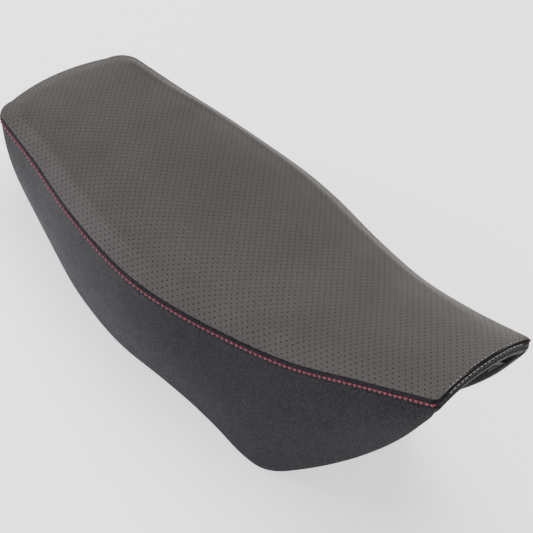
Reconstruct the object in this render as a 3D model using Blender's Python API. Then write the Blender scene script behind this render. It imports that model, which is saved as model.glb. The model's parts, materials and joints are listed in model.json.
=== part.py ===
"""Two-up motorcycle seat: moulded base, foam cushion, sewn vinyl cover and the fixings under it.

Every piece is modelled in the seat's own frame, as it sits on the motorcycle: nose towards -Y, tail
towards +Y, +Z up, with the tips of the side wings near Z = 0. At the end one empty, which is the parent
of every piece, lays the seat on a flat bench, where it rests on its wings and its rear pads.
"""

import math

import bmesh
import bpy
from mathutils import Matrix, Vector

# ---------------------------------------------------------------- driving dimensions, in metres

LENGTH = 0.600              # from the nose corner to the last of the stations below
TAIL_OVERHANG = 0.0175      # how far the tail's corners reach behind that station
WIDTH = 0.232               # across the side seams, at the widest station
GAP = 0.0003                # between any two pieces that touch
SLACK = 0.0006              # between the foam and the cover
HEM_SLACK = 0.0014          # added between the cover's hem and the inside of the rim

COVER = 0.0012              # vinyl thickness
BASE_WALL = 0.003           # moulded base thickness
HEM = 0.014                 # how far the cover turns up inside the base's rim
SEAM_CLEARANCE = 0.0016     # the top panel's edge stops this far inside the side panels
RIM_LAND = 0.018            # height of the base's rim that the cover lies on directly
RIM_SHARE = 0.35            # the same at most, as a share of the side's height
RIM_START = 0.0040          # the rim's lower edge lies this far above the cover's fold
LEDGE = 0.005               # width of the step in the base that the foam's lower edge stands on
SIDE_PADDING = 0.014        # foam beside the base at deck level
DECK_CORNER = 0.006         # chamfer between the base's skirt and its deck
TUCK = 0.004                # the lower edge lies this far inside the seam
TAIL_TUCK = 0.030           # the same at the tail, which is undercut
SIDE_BULGE = 0.004          # foam swell between the seam and the lower edge
TAIL_CORNER = 0.028         # plan radius at the tail
TAIL_BOW = 0.011            # plan bow of the tail between its corners
DOME_END = 0.130            # where the crown's ridge ends, before the tail

NOSE_BAND = 0.012           # height of the band below the nose seam
NOSE_RETURN = 0.016         # how far the band turns back under the nose
NOSE_SLOPE = 0.75           # fall of that return, and of the foam above it
NOSE_BEND = 0.001           # length of the bend before that return
BASE_SETBACK = 0.021        # the base starts this far behind the nose
DECK_ARCH = 0.013           # the deck's arch over the tank, at the nose
DECK_ARCH_LENGTH = 0.18     # it has flattened this far behind the nose

RAIL_HEIGHT = 0.045         # the frame rails' top face, which all the pads meet
PAD_RADIUS = 0.012
PAD_HEIGHT = 0.012
PAD_BEVEL = 0.0015
PAD_STEM_RADIUS = 0.005
PAD_STEM = 0.008
PAD_COLLAR_RADIUS = 0.011
PAD_TRACK = 0.120           # between the left and right pads
PAD_STATIONS = (0.252, 0.372, 0.480)    # behind the nose: front, middle and rear pair

RIB = 0.0026
RIB_DEPTH = 0.012
RIB_SPACING = 0.060
FIRST_RIB = 0.190           # behind the nose
LONG_RIB_TRACK = 0.092      # between the two lengthwise ribs

TONGUE_WIDTH = 0.034
TONGUE_PLATE = 0.003
TONGUE_HEIGHT = 0.100       # underside of the boss that it is bolted to
TONGUE_ROOT = 0.172         # its rear end, behind the nose
TONGUE_SEAT = 0.044         # length of the bolted part
TONGUE_TIP = 0.045          # length of the raised tip
TONGUE_RISE = 0.012         # how far the tip stands above the bolted part
TONGUE_RAMP = 0.018

STRIKER_AHEAD = 0.072       # ahead of the last station
STRIKER_HEIGHT = 0.090      # underside of the boss that it is bolted to
STRIKER_BAR = 0.004         # radius of the round bar
STRIKER_SPAN = 0.040        # between its legs
STRIKER_DROP = 0.030        # from the plate to the bottom of the loop
STRIKER_BEND = 0.010
STRIKER_PLATE = (0.080, 0.044, 0.003)
STRIKER_BOLTS = (0.060, 0.026)

BOLT_RADIUS = 0.003
BOLT_CLEARANCE = 0.0003     # round a bolt's shank
BOLT_LENGTH = 0.012
BOLT_HEAD = 0.0042
BOLT_HEAD_RADIUS = 0.0055
BOLT_FLANGE = 0.0013
BOLT_FLANGE_RADIUS = 0.0068
TONGUE_BOLTS = 0.022        # between the two

# Shapes along the seat: (share of the length behind the nose, value).
HALF_WIDTH_SHARE = (
    (0.0, 0.48), (0.125, 0.585), (0.25, 0.72), (0.375, 0.85), (0.5, 0.97),
    (0.6, 1.0), (0.75, 0.935), (0.875, 0.828), (1.0, 0.747),
)
SEAM_HEIGHT = (
    (0.0, 0.221), (0.125, 0.192), (0.25, 0.167), (0.375, 0.157), (0.5, 0.155),
    (0.625, 0.157), (0.75, 0.163), (0.875, 0.172), (1.0, 0.178),
)
CROWN_RISE = ((0.0, 0.017), (0.2, 0.022), (0.45, 0.026), (0.75, 0.0264), (1.0, 0.0135))
SHOULDER_POWER = ((0.0, 2.4), (0.3, 3.8), (1.0, 4.1))    # how square the crown's shoulders are
LOWER_EDGE = (
    (0.0, 0.207), (0.055, 0.1485), (0.115, 0.0995), (0.175, 0.059), (0.24, 0.022), (0.28, 0.003),
    (0.312, -0.004), (0.35, 0.001), (0.4, 0.0175), (0.46, 0.032), (0.53, 0.039), (0.64, 0.036),
    (0.72, 0.040), (0.8, 0.050), (0.88, 0.070), (0.96, 0.098), (1.0, 0.106),
)
DECK_HEIGHT = (
    (0.0, 0.226), (0.1, 0.178), (0.2, 0.139), (0.3, 0.110), (0.4, 0.095), (0.5, 0.086),
    (0.6, 0.083), (0.7, 0.087), (0.8, 0.098), (0.9, 0.118), (1.0, 0.142),
)

# Mesh density.
SIDE_STEPS = 22
CORNER_STEPS = 4
TAIL_STEPS = 3
CROWN_SHARES = (0.0, 0.08, 0.18, 0.3, 0.46, 0.7, 1.0)
SIDE_SHARES = (0.0, 0.3, 0.65, 0.93)
ROUND_STEPS = 16

COLOURS = {
    "vinyl_perforated": ((0.115, 0.108, 0.102), 0.55, 0.0),
    "vinyl_side": ((0.052, 0.050, 0.056), 0.62, 0.0),
    "foam": ((0.55, 0.50, 0.33), 0.95, 0.0),
    "base_plastic": ((0.022, 0.022, 0.023), 0.5, 0.0),
    "pad_rubber": ((0.018, 0.018, 0.018), 0.8, 0.0),
    "painted_steel": ((0.030, 0.030, 0.032), 0.42, 0.6),
    "plated_steel": ((0.62, 0.60, 0.55), 0.32, 1.0),
}


# ---------------------------------------------------------------- shape functions

def curve(points):
    """A smooth function of the share of the length through the points, flat past both ends."""
    xs = [x for x, _ in points]
    ys = [y for _, y in points]
    last = len(xs) - 1

    def slope(i):
        low, high = max(i - 1, 0), min(i + 1, last)
        return (ys[high] - ys[low]) / (xs[high] - xs[low])

    def value(x):
        x = min(max(x, xs[0]), xs[-1])
        i = min(max(j for j in range(last + 1) if xs[j] <= x), last - 1)
        step = xs[i + 1] - xs[i]
        t = (x - xs[i]) / step
        return (
            ys[i] * (1 + 2 * t) * (1 - t) ** 2
            + slope(i) * step * t * (1 - t) ** 2
            + ys[i + 1] * t * t * (3 - 2 * t)
            + slope(i + 1) * step * t * t * (t - 1)
        )

    return value


NOSE_Y = -LENGTH / 2
TAIL_Y = LENGTH / 2 + TAIL_OVERHANG
STRIKER_Y = LENGTH / 2 - STRIKER_AHEAD
width_share = curve(HALF_WIDTH_SHARE)
seam_curve = curve(SEAM_HEIGHT)
rise_curve = curve(CROWN_RISE)
edge_curve = curve(LOWER_EDGE)
deck_curve = curve(DECK_HEIGHT)
power_curve = curve(SHOULDER_POWER)


def share(y):
    return (y - NOSE_Y) / LENGTH


def half_width(y):
    return WIDTH / 2 * width_share(share(y))


def seam_height(y):
    return seam_curve(share(y))


def edge_height(y):
    return edge_curve(share(y))


def deck_height(y):
    return deck_curve(share(y))


def crown(k, y=NOSE_Y):
    """Share of the crown's rise, from the seam (0) to the ridge (1)."""
    return 1 - (1 - k) ** power_curve(share(y))


def deck_arch(y):
    """How far the deck's sides lie below its middle, under the nose."""
    return DECK_ARCH * max(0.0, 1 - (y - NOSE_Y) / DECK_ARCH_LENGTH)


def above_edge(y, distance):
    """Height of a point this far above the lower edge, measured square to the edge."""
    step = LENGTH / SIDE_STEPS / 2
    slope = (edge_height(y + step) - edge_height(y - step)) / (2 * step)
    return distance * math.hypot(1, slope)


def ledge_height(y):
    """Height above the lower edge at which the foam's lower edge stands."""
    return min(above_edge(y, RIM_LAND), RIM_SHARE * (seam_height(y) - edge_height(y)))


def hem_height(y):
    """Height above the lower edge at which the cover's hem ends, below the base's ledge."""
    return min(HEM, ledge_height(y) - above_edge(y, BASE_WALL + 4 * GAP))


def swell(h):
    """The side's swell at share h of its height, straight between the rings of the side panels."""
    rings = SIDE_SHARES + (1.0,)
    for low, high in zip(rings, rings[1:]):
        if h <= high:
            at = (h - low) / (high - low)
            ends = [SIDE_BULGE * math.sin(math.pi * end) for end in (low, high)]
            return ends[0] + (ends[1] - ends[0]) * at
    return 0.0


def plan_outline(start_y, tuck, tail_tuck):
    """Half the plan outline, from the nose along the left side and round the tail to its middle.

    Every outline has the same stations behind the base's front edge, so that layers lie parallel.
    """
    tail = TAIL_Y - tail_tuck
    turn = tail - TAIL_CORNER
    base_front = NOSE_Y + BASE_SETBACK
    stations = [start_y]
    stations += [y for y in (base_front - 2 * GAP, base_front + 2 * GAP) if y > start_y + 2 * GAP]
    for i in range(1, SIDE_STEPS + 1):
        stations.append(base_front + (turn - base_front) * i / SIDE_STEPS)
    points = [Vector((half_width(y) - tuck, y)) for y in stations]
    for i in range(1, CORNER_STEPS + 1):
        angle = math.pi / 2 * i / CORNER_STEPS
        y = turn + TAIL_CORNER * math.sin(angle)
        points.append(Vector((half_width(y) - tuck - TAIL_CORNER * (1 - math.cos(angle)), y)))
    end = points[-1].x
    for i in range(1, TAIL_STEPS + 1):
        x = end * (1 - i / TAIL_STEPS)
        points.append(Vector((x, tail + TAIL_BOW * (1 - (x / end) ** 2))))
    return points


def plan_normals(points):
    """Outward normals of the half outline: square to the side at the nose, to the tail in the middle."""
    normals = []
    for i in range(len(points)):
        along = points[min(i + 1, len(points) - 1)] - points[max(i - 1, 0)]
        normals.append(Vector((along.y, -along.x)).normalized())
    normals[0] = Vector((1, 0))
    normals[-1] = Vector((0, 1))
    return normals


class Shell:
    """The seat's outer surface, read as half rings from the nose round to the middle of the tail."""

    def __init__(self, start_y=NOSE_Y):
        self.seam = plan_outline(start_y, 0.0, 0.0)
        self.edge = plan_outline(start_y, TUCK, TAIL_TUCK)
        self.normals = plan_normals(self.seam)

    def top(self, k):
        """Ring on the crown: k = 0 on the seam, 1 on the ridge."""
        ring = []
        for point in self.seam:
            ridge = Vector((0, min(point.y, TAIL_Y - DOME_END)))
            at = point.lerp(ridge, k)
            low = seam_height(point.y)
            high = seam_height(ridge.y) + rise_curve(share(ridge.y))
            ring.append(Vector((at.x, at.y, low + (high - low) * crown(k, point.y))))
        return ring

    def side(self, share_down):
        """Ring on the side, at share 0 on the seam and 1 at the lower edge, which may vary with y."""
        ring = []
        for seam, edge, normal in zip(self.seam, self.edge, self.normals):
            h = share_down(edge.y)
            at = seam.lerp(edge, h) + normal * swell(h)
            low, high = edge_height(edge.y), seam_height(seam.y)
            ring.append(Vector((max(at.x, 0.0), at.y, high + (low - high) * h)))
        return ring

    def at_edge(self, inset, height):
        """Ring inside the lower edge, at a height that depends on the station."""
        ring = []
        for edge, normal in zip(self.edge, self.normals):
            at = edge - normal * inset
            ring.append(Vector((max(at.x, 0.0), at.y, height(edge.y))))
        return ring


def across(ring, k, height):
    """The ring drawn in towards the ridge line by share k, at a height that depends on y and k."""
    end = max(point.y for point in ring) - DOME_END
    drawn = []
    for point in ring:
        at = Vector((point.x, point.y)).lerp(Vector((0, min(point.y, end))), k)
        drawn.append(Vector((at.x, at.y, height(at.y, k))))
    return drawn


# ---------------------------------------------------------------- mesh helpers

def material(name):
    colour, roughness, metallic = COLOURS[name]
    made = bpy.data.materials.get(name) or bpy.data.materials.new(name)
    made.use_nodes = True
    shader = made.node_tree.nodes["Principled BSDF"]
    shader.inputs["Base Color"].default_value = (*colour, 1)
    shader.inputs["Roughness"].default_value = roughness
    shader.inputs["Metallic"].default_value = metallic
    return made


def to_object(name, bm, finish, is_open=False):
    """Turn the bmesh into a named object, faces pointing out. An open surface is turned before this."""
    bmesh.ops.remove_doubles(bm, verts=bm.verts, dist=2e-5)
    if not is_open:
        bmesh.ops.recalc_face_normals(bm, faces=bm.faces)
    mesh = bpy.data.meshes.new(name)
    bm.to_mesh(mesh)
    bm.free()
    mesh.materials.append(material(finish))
    mesh.shade_smooth()
    mesh.set_sharp_from_angle(angle=math.radians(35))
    made = bpy.data.objects.new(name, mesh)
    bpy.context.scene.collection.objects.link(made)
    return made


def full_ring(half):
    """A half ring and its mirror image, from the left nose corner round to the right one."""
    return half + [Vector((-p.x, p.y, p.z)) for p in reversed(half[:-1])]


def grid(bm, rings, skip=None, downwards=False):
    """Join rings of equally many points with triangles. skip(i, j) leaves a pair of them out.

    The diagonals run the same way on every layer, so that layers lie parallel. downwards says that
    the rings are given from the top down.
    """
    rows = [[bm.verts.new(p) for p in ring] for ring in rings]
    widths = [point.x for ring in rings for point in ring]
    middle = (len(rows[0]) - 1) / 2 if min(widths) < 0 < max(widths) else len(rows[0])
    for i in range(len(rows) - 1):
        for j in range(len(rows[i]) - 1):
            if skip and skip(i, j):
                continue
            a, b = rows[i][j], rows[i][j + 1]
            d, c = rows[i + 1][j], rows[i + 1][j + 1]
            if (j < middle) != downwards:
                bm.faces.new((a, b, c))
                bm.faces.new((a, c, d))
            else:
                bm.faces.new((a, b, d))
                bm.faces.new((b, c, d))
    return rows


def closed_loft(rings):
    """A closed solid whose skin runs through the full rings, from one ridge line to another."""
    bm = bmesh.new()
    rows = grid(bm, rings)
    front = [row[0] for row in rows] + [row[-1] for row in reversed(rows)]
    bm.faces.new(front)
    bmesh.ops.remove_doubles(bm, verts=bm.verts, dist=2e-5)
    return bm


def sheet(name, bm, finish, thickness):
    """An open surface given its thickness on the inner side."""
    made = to_object(name, bm, finish, is_open=True)
    solid = made.modifiers.new("thickness", "SOLIDIFY")
    solid.thickness = thickness
    solid.offset = -1
    solid.use_even_offset = True
    return made


def face_outwards(bm, height):
    """Turn an open surface's faces away from the point at this height in the middle of the seat."""
    middle = Vector((0, 0, height))
    bmesh.ops.recalc_face_normals(bm, faces=bm.faces)
    outward = 0.0
    for face in bm.faces:
        outward += face.calc_area() * face.normal.dot(face.calc_center_median() - middle)
    if outward < 0:
        bmesh.ops.reverse_faces(bm, faces=bm.faces)


def inset_all(bm, depth):
    """Move a closed surface in by the same depth everywhere."""
    bmesh.ops.recalc_face_normals(bm, faces=bm.faces)
    bm.normal_update()
    moves = [vert.normal * (depth * min(vert.calc_shell_factor(), 1.5)) for vert in bm.verts]
    for vert, move in zip(bm.verts, moves):
        vert.co -= move


def apply_modifiers(target):
    """Make the target's modifiers part of its mesh."""
    graph = bpy.context.evaluated_depsgraph_get()
    mesh = bpy.data.meshes.new_from_object(target.evaluated_get(graph), depsgraph=graph)
    target.modifiers.clear()
    old = target.data
    target.data = mesh
    mesh.name = target.name
    bpy.data.meshes.remove(old)


def combine(target, other, operation, self_crossing=False):
    """Cut, join or trim the target with the other solid, which is then removed."""
    step = target.modifiers.new(operation.lower(), "BOOLEAN")
    step.operation = operation
    step.object = other
    step.solver = "EXACT"
    step.use_self = self_crossing
    apply_modifiers(target)
    bpy.data.objects.remove(other)


def box(bm, centre, size):
    made = bmesh.ops.create_cube(bm, size=1.0)
    bmesh.ops.scale(bm, vec=size, verts=made["verts"])
    bmesh.ops.translate(bm, vec=centre, verts=made["verts"])


def rod(bm, centre, radius, bottom, top, steps=ROUND_STEPS):
    made = bmesh.ops.create_cone(
        bm, cap_ends=True, segments=steps, radius1=radius, radius2=radius, depth=top - bottom
    )
    bmesh.ops.translate(bm, vec=(centre[0], centre[1], (top + bottom) / 2), verts=made["verts"])


def turned(profile, steps=ROUND_STEPS, centre=(0, 0)):
    """A closed round solid about a vertical axis, from (radius, height) points that start and end at 0."""
    bm = bmesh.new()
    rows = []
    for radius, height in profile:
        row = []
        for i in range(steps if radius > 0 else 1):
            angle = 2 * math.pi * i / steps
            place = (centre[0] + radius * math.cos(angle), centre[1] + radius * math.sin(angle), height)
            row.append(bm.verts.new(place))
        rows.append(row)
    for low, high in zip(rows, rows[1:]):
        for i in range(steps):
            j = (i + 1) % steps
            corners = [low[i % len(low)], low[j % len(low)], high[j % len(high)], high[i % len(high)]]
            bm.faces.new(list(dict.fromkeys(corners)))
    return bm


# ---------------------------------------------------------------- cover

def cover_top_panel():
    """Perforated panel over the crown, from seam to seam and over the tail."""
    shell = Shell()
    outer = shell.top(0.0)
    inner = shell.top(0.04)
    edge = []
    for low, high in zip(outer, inner):
        edge.append(low.lerp(high, min(SEAM_CLEARANCE / (high - low).length, 1.0)))
    rings = [full_ring(edge)] + [full_ring(shell.top(k)) for k in CROWN_SHARES[1:]]
    bm = bmesh.new()
    grid(bm, rings)
    bmesh.ops.remove_doubles(bm, verts=bm.verts, dist=2e-5)
    face_outwards(bm, deck_height(0))
    return sheet("cover_top_panel", bm, "vinyl_perforated", COVER)


def cover_side_panel(name, side):
    """One side of the cover, from the seam to the hem inside the base's rim, to the middle of the tail."""
    shell = Shell(NOSE_Y + COVER + GAP)
    turn = BASE_WALL + 2 * (COVER + GAP) + HEM_SLACK
    fold = BASE_WALL / 2
    rings = [shell.side(lambda y, h=h: h) for h in SIDE_SHARES]
    for inset, rise in ((0.0, fold), (fold, 0.0), (turn - fold, 0.0), (turn, fold)):
        rings.append(shell.at_edge(inset, lambda y, r=rise: edge_height(y) + above_edge(y, r)))
    rings.append(shell.at_edge(turn, lambda y: edge_height(y) + hem_height(y)))
    first_hem_row = len(SIDE_SHARES)
    for ring in rings:
        for point in ring:
            point.x = max(point.x, GAP) * side
    bm = bmesh.new()
    grid(bm, rings, skip=lambda i, j: i >= first_hem_row and j == 0, downwards=True)
    loose = [vert for vert in bm.verts if not vert.link_faces]
    bmesh.ops.delete(bm, geom=loose, context="VERTS")
    face_outwards(bm, deck_height(0))
    return sheet(name, bm, "vinyl_side", COVER)


def cover_nose_band():
    """Band below the nose seam, turned back under the foam's front edge."""
    shell = Shell()
    y = NOSE_Y
    arch = [shell.top(k)[0] for k in CROWN_SHARES]
    reach = half_width(y) - COVER - 2 * GAP - BASE_WALL / 2
    arch = [Vector((min(p.x, reach * (1 - k)), y, p.z)) for p, k in zip(arch, CROWN_SHARES)]
    across_nose = [Vector((-p.x, p.y, p.z)) for p in arch[:-1]] + list(reversed(arch))
    path = (
        (0.0, SEAM_CLEARANCE),
        (-0.0012, NOSE_BAND * 0.4),
        (-0.0006, NOSE_BAND * 0.85),
        (NOSE_BEND, NOSE_BAND + NOSE_SLOPE * NOSE_BEND),
        (NOSE_RETURN, NOSE_BAND + NOSE_SLOPE * NOSE_RETURN),
    )
    rings = [[p + Vector((0, back, -down)) for p in across_nose] for back, down in path]
    bm = bmesh.new()
    grid(bm, rings)
    face_outwards(bm, deck_height(0))
    return sheet("cover_nose_band", bm, "vinyl_side", COVER)


# ---------------------------------------------------------------- base and foam

def base_rings(grow, start_y):
    """Half rings of the base's outer surface, from its rim up to the deck's middle, grown outwards."""
    shell = Shell(start_y)
    rim = COVER + GAP
    wall = rim + LEDGE

    def deck(y, k):
        return deck_height(y) + grow - deck_arch(y) * (1 - k) ** 2

    corner = shell.at_edge(rim + SIDE_PADDING + DECK_CORNER - grow, lambda y: deck(y, 0.0))
    rings = [
        shell.at_edge(rim - grow, lambda y: edge_height(y) + above_edge(y, RIM_START)),
        shell.at_edge(rim - grow, lambda y: edge_height(y) + ledge_height(y) + grow),
        shell.at_edge(wall - grow, lambda y: edge_height(y) + ledge_height(y) + grow),
        shell.at_edge(rim + SIDE_PADDING - grow, lambda y: deck(y, 0.0) - DECK_CORNER),
        corner,
    ]
    for k in (0.35, 0.7, 1.0):
        rings.append(across(corner, k, deck))
    return rings


def base_envelope(name, grow, reach):
    """Solid filled form of the base, open hollow included, grown outwards and reaching down below."""
    start_y = NOSE_Y + BASE_SETBACK - grow
    rings = base_rings(grow, start_y)
    foot = [Vector((p.x, p.y, p.z - reach)) for p in rings[0]]
    floor = across(foot, 1.0, lambda y, k: edge_height(y) - reach)
    return to_object(name, closed_loft([full_ring(r) for r in [floor, foot] + rings]), "base_plastic")


def foam_cushion():
    """Moulded foam: the space between the cover and the base, with its nose ahead of the base."""
    shell = Shell()

    def nose_zone(y):
        return y < NOSE_Y + BASE_SETBACK

    def foot(y):
        if nose_zone(y):
            return seam_height(NOSE_Y) - NOSE_BAND - NOSE_SLOPE * (y - NOSE_Y)
        return edge_height(y) + ledge_height(y)

    def share_down(y, part_way):
        top = seam_height(y)
        return part_way * min((top - foot(y)) / (top - edge_height(y)), 1.0)

    def underside(y, k):
        arch = rise_curve(0.0) * crown(k) if nose_zone(y) else 0.0
        return foot(y) + arch

    rings = []
    for part_way in (1.0, 0.7, 0.35):
        rings.append(shell.side(lambda y, p=part_way: share_down(y, p)))
    foot_ring = rings[0]
    for point, edge in zip(foot_ring, shell.edge):
        point.z = foot(edge.y)
    rings = [across(foot_ring, k, underside) for k in (1.0, 0.6, 0.22)] + rings
    rings += [shell.top(k) for k in CROWN_SHARES]
    bm = closed_loft([full_ring(r) for r in rings])
    inset_all(bm, COVER + SLACK)
    foam = to_object("foam_cushion", bm, "foam")
    combine(foam, base_envelope("base_space", GAP, 0.060), "DIFFERENCE")
    return foam


def pad_places():
    """(name, x, y) of the six frame pads."""
    places = []
    for row, station in zip(("front", "middle", "rear"), PAD_STATIONS):
        for side, sign in (("left", 1), ("right", -1)):
            places.append((f"frame_pad_{row}_{side}", sign * PAD_TRACK / 2, NOSE_Y + station))
    return places


def tongue_bolt_places():
    middle = NOSE_Y + TONGUE_ROOT - TONGUE_SEAT / 2
    return [(0.0, middle + step * TONGUE_BOLTS / 2) for step in (-1, 1)]


def striker_bolt_places():
    wide, long = STRIKER_BOLTS
    y = STRIKER_Y
    return [(i * wide / 2, y + j * long / 2) for i in (-1, 1) for j in (-1, 1)]


def seat_base():
    """Moulded base: skirts, wings and deck, with ribs, collars for the pads and bosses for the bolts."""
    bm = bmesh.new()
    grid(bm, [full_ring(r) for r in base_rings(0.0, NOSE_Y + BASE_SETBACK)])
    bmesh.ops.remove_doubles(bm, verts=bm.verts, dist=2e-5)
    face_outwards(bm, RAIL_HEIGHT)
    base = sheet("seat_base", bm, "base_plastic", BASE_WALL)
    apply_modifiers(base)

    inside = bmesh.new()
    y = NOSE_Y + FIRST_RIB
    while y < TAIL_Y - TAIL_TUCK - RIB_SPACING / 2:
        low = deck_height(y) - BASE_WALL - RIB_DEPTH
        box(inside, (0, y, low + RIB_DEPTH), (WIDTH, RIB, 2 * RIB_DEPTH))
        y += RIB_SPACING
    for side in (-1, 1):
        long_rib(inside, side * LONG_RIB_TRACK / 2)
    for _, x, y in pad_places():
        rod(inside, (x, y), PAD_COLLAR_RADIUS, RAIL_HEIGHT + PAD_HEIGHT + GAP, deck_height(y) + RIB_DEPTH)
    tongue_y = NOSE_Y + TONGUE_ROOT - TONGUE_SEAT / 2
    boss(inside, tongue_y, TONGUE_WIDTH, TONGUE_SEAT, TONGUE_HEIGHT)
    wide, long, _ = STRIKER_PLATE
    boss(inside, STRIKER_Y, wide, long, STRIKER_HEIGHT)
    stiffeners = to_object("stiffeners", inside, "base_plastic")
    combine(stiffeners, base_envelope("trim", -BASE_WALL / 3, 0.060), "INTERSECT", self_crossing=True)
    combine(base, stiffeners, "UNION")

    holes = bmesh.new()
    for _, x, y in pad_places():
        low = RAIL_HEIGHT + PAD_HEIGHT
        rod(holes, (x, y), PAD_STEM_RADIUS + GAP, low - GAP, low + PAD_STEM + 2 * GAP)
    for x, y in tongue_bolt_places():
        bolt_hole(holes, x, y, TONGUE_HEIGHT)
    for x, y in striker_bolt_places():
        bolt_hole(holes, x, y, STRIKER_HEIGHT)
    combine(base, to_object("holes", holes, "base_plastic"), "DIFFERENCE")
    return base


def long_rib(bm, x):
    """A lengthwise rib that follows the deck."""
    start, end = NOSE_Y + FIRST_RIB, TAIL_Y - TAIL_TUCK - SIDE_PADDING
    rows = []
    for i in range(SIDE_STEPS // 2 + 1):
        y = start + (end - start) * i / (SIDE_STEPS // 2)
        low = deck_height(y) - BASE_WALL - RIB_DEPTH
        corners = ((-1, low), (1, low), (1, low + 2 * RIB_DEPTH), (-1, low + 2 * RIB_DEPTH))
        rows.append([bm.verts.new((x + side * RIB / 2, y, z)) for side, z in corners])
    for back, front in zip(rows, rows[1:]):
        for i in range(4):
            j = (i + 1) % 4
            bm.faces.new((back[i], back[j], front[j], front[i]))
    bm.faces.new(rows[0])
    bm.faces.new(rows[-1])


def boss(bm, y, wide, long, bottom):
    top = deck_height(y) + RIB_DEPTH
    box(bm, (0, y, (bottom + top) / 2), (wide, long, top - bottom))


def bolt_hole(bm, x, y, face):
    reach = BOLT_LENGTH - STRIKER_PLATE[2]
    rod(bm, (x, y), BOLT_RADIUS + BOLT_CLEARANCE, face - GAP, face + reach + 2 * GAP)


# ---------------------------------------------------------------- fixings

def frame_pad(name, x, y):
    """Rubber pad with a stem pushed into its collar."""
    low, high = RAIL_HEIGHT, RAIL_HEIGHT + PAD_HEIGHT
    profile = (
        (0, low), (PAD_RADIUS - PAD_BEVEL, low), (PAD_RADIUS, low + PAD_BEVEL), (PAD_RADIUS, high),
        (PAD_STEM_RADIUS, high), (PAD_STEM_RADIUS, high + PAD_STEM), (0, high + PAD_STEM),
    )
    return to_object(name, turned(profile, centre=(x, y)), "pad_rubber")


def flange_bolt(name, x, y, plate_bottom):
    """Hexagon flange bolt, head down, its flange against the plate."""
    face = plate_bottom - GAP
    cone = face - BOLT_FLANGE - BOLT_HEAD / 2
    profile = (
        (0, cone), (BOLT_FLANGE_RADIUS * 0.8, cone), (BOLT_FLANGE_RADIUS, face - BOLT_FLANGE),
        (BOLT_FLANGE_RADIUS, face), (BOLT_RADIUS, face), (BOLT_RADIUS, face + BOLT_LENGTH),
        (0, face + BOLT_LENGTH),
    )
    bolt = to_object(name, turned(profile, centre=(x, y)), "plated_steel")
    head = bmesh.new()
    rod(head, (x, y), BOLT_HEAD_RADIUS, face - BOLT_FLANGE - BOLT_HEAD, face - BOLT_FLANGE / 2, steps=6)
    combine(bolt, to_object("hexagon", head, "plated_steel"), "UNION")
    return bolt


def front_tongue():
    """Steel tongue under the nose, with a raised tip that hooks under the frame's bracket."""
    top = TONGUE_HEIGHT - GAP
    root = NOSE_Y + TONGUE_ROOT
    bend = root - TONGUE_SEAT
    ramp = bend - TONGUE_RAMP
    tip = ramp - TONGUE_TIP
    upper = [(root, top), (bend, top), (ramp, top + TONGUE_RISE), (tip, top + TONGUE_RISE)]
    lower = [(y, z - TONGUE_PLATE) for y, z in reversed(upper)]
    outline = upper + lower
    bm = bmesh.new()
    for x in (-TONGUE_WIDTH / 2, TONGUE_WIDTH / 2):
        bm.faces.new([bm.verts.new((x, y, z)) for y, z in outline])
    bm.verts.ensure_lookup_table()
    count = len(outline)
    for i in range(count):
        j = (i + 1) % count
        bm.faces.new((bm.verts[i], bm.verts[j], bm.verts[count + j], bm.verts[count + i]))
    tips = [e for e in bm.edges if all(abs(v.co.y - tip) < GAP for v in e.verts)
            and abs(e.verts[0].co.z - e.verts[1].co.z) > GAP]
    bmesh.ops.bevel(bm, geom=tips, offset=TONGUE_WIDTH / 4, segments=4, profile=0.5, affect="EDGES")
    tongue = to_object("front_tongue", bm, "painted_steel")
    holes = bmesh.new()
    for x, y in tongue_bolt_places():
        rod(holes, (x, y), BOLT_RADIUS + BOLT_CLEARANCE, top - 2 * TONGUE_PLATE, top + TONGUE_PLATE)
    combine(tongue, to_object("tongue_holes", holes, "painted_steel"), "DIFFERENCE")
    return tongue


def latch_striker():
    """U-shaped round bar, welded to the plate that bolts under the tail."""
    y = STRIKER_Y
    wide, long, thick = STRIKER_PLATE
    top = STRIKER_HEIGHT - GAP
    bm = bmesh.new()
    box(bm, (0, y, top - thick / 2), (wide, long, thick))
    plate = to_object("latch_striker", bm, "painted_steel")

    half, low = STRIKER_SPAN / 2, top - thick - STRIKER_DROP + STRIKER_BAR
    path = [(half, top - thick / 2)]
    for i in range(5):
        angle = math.pi / 2 * i / 4
        path.append((half - STRIKER_BEND * (1 - math.cos(angle)), low + STRIKER_BEND * (1 - math.sin(angle))))
    path += [(-x, z) for x, z in reversed(path)]
    bar = bmesh.new()
    rows = []
    for i, (x, z) in enumerate(path):
        ahead, behind = path[min(i + 1, len(path) - 1)], path[max(i - 1, 0)]
        along = Vector((ahead[0] - behind[0], 0, ahead[1] - behind[1])).normalized()
        if i in (0, len(path) - 1):
            along = Vector((0, 0, -1 if i == 0 else 1))
        out = along.cross(Vector((0, 1, 0)))
        row = []
        for step in range(10):
            turn = 2 * math.pi * step / 10
            spoke = out * math.cos(turn) + Vector((0, 1, 0)) * math.sin(turn)
            row.append(bar.verts.new(Vector((x, y, z)) + spoke * STRIKER_BAR))
        rows.append(row)
    for first, second in zip(rows, rows[1:]):
        for i in range(10):
            j = (i + 1) % 10
            bar.faces.new((first[i], first[j], second[j], second[i]))
    bar.faces.new(rows[0])
    bar.faces.new(rows[-1])
    combine(plate, to_object("bar", bar, "painted_steel"), "UNION")
    holes = bmesh.new()
    for x, place in striker_bolt_places():
        rod(holes, (x, place), BOLT_RADIUS + BOLT_CLEARANCE, top - 2 * thick, top + thick)
    combine(plate, to_object("striker_holes", holes, "painted_steel"), "DIFFERENCE")
    return plate


# ---------------------------------------------------------------- the seat on its bench

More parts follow.
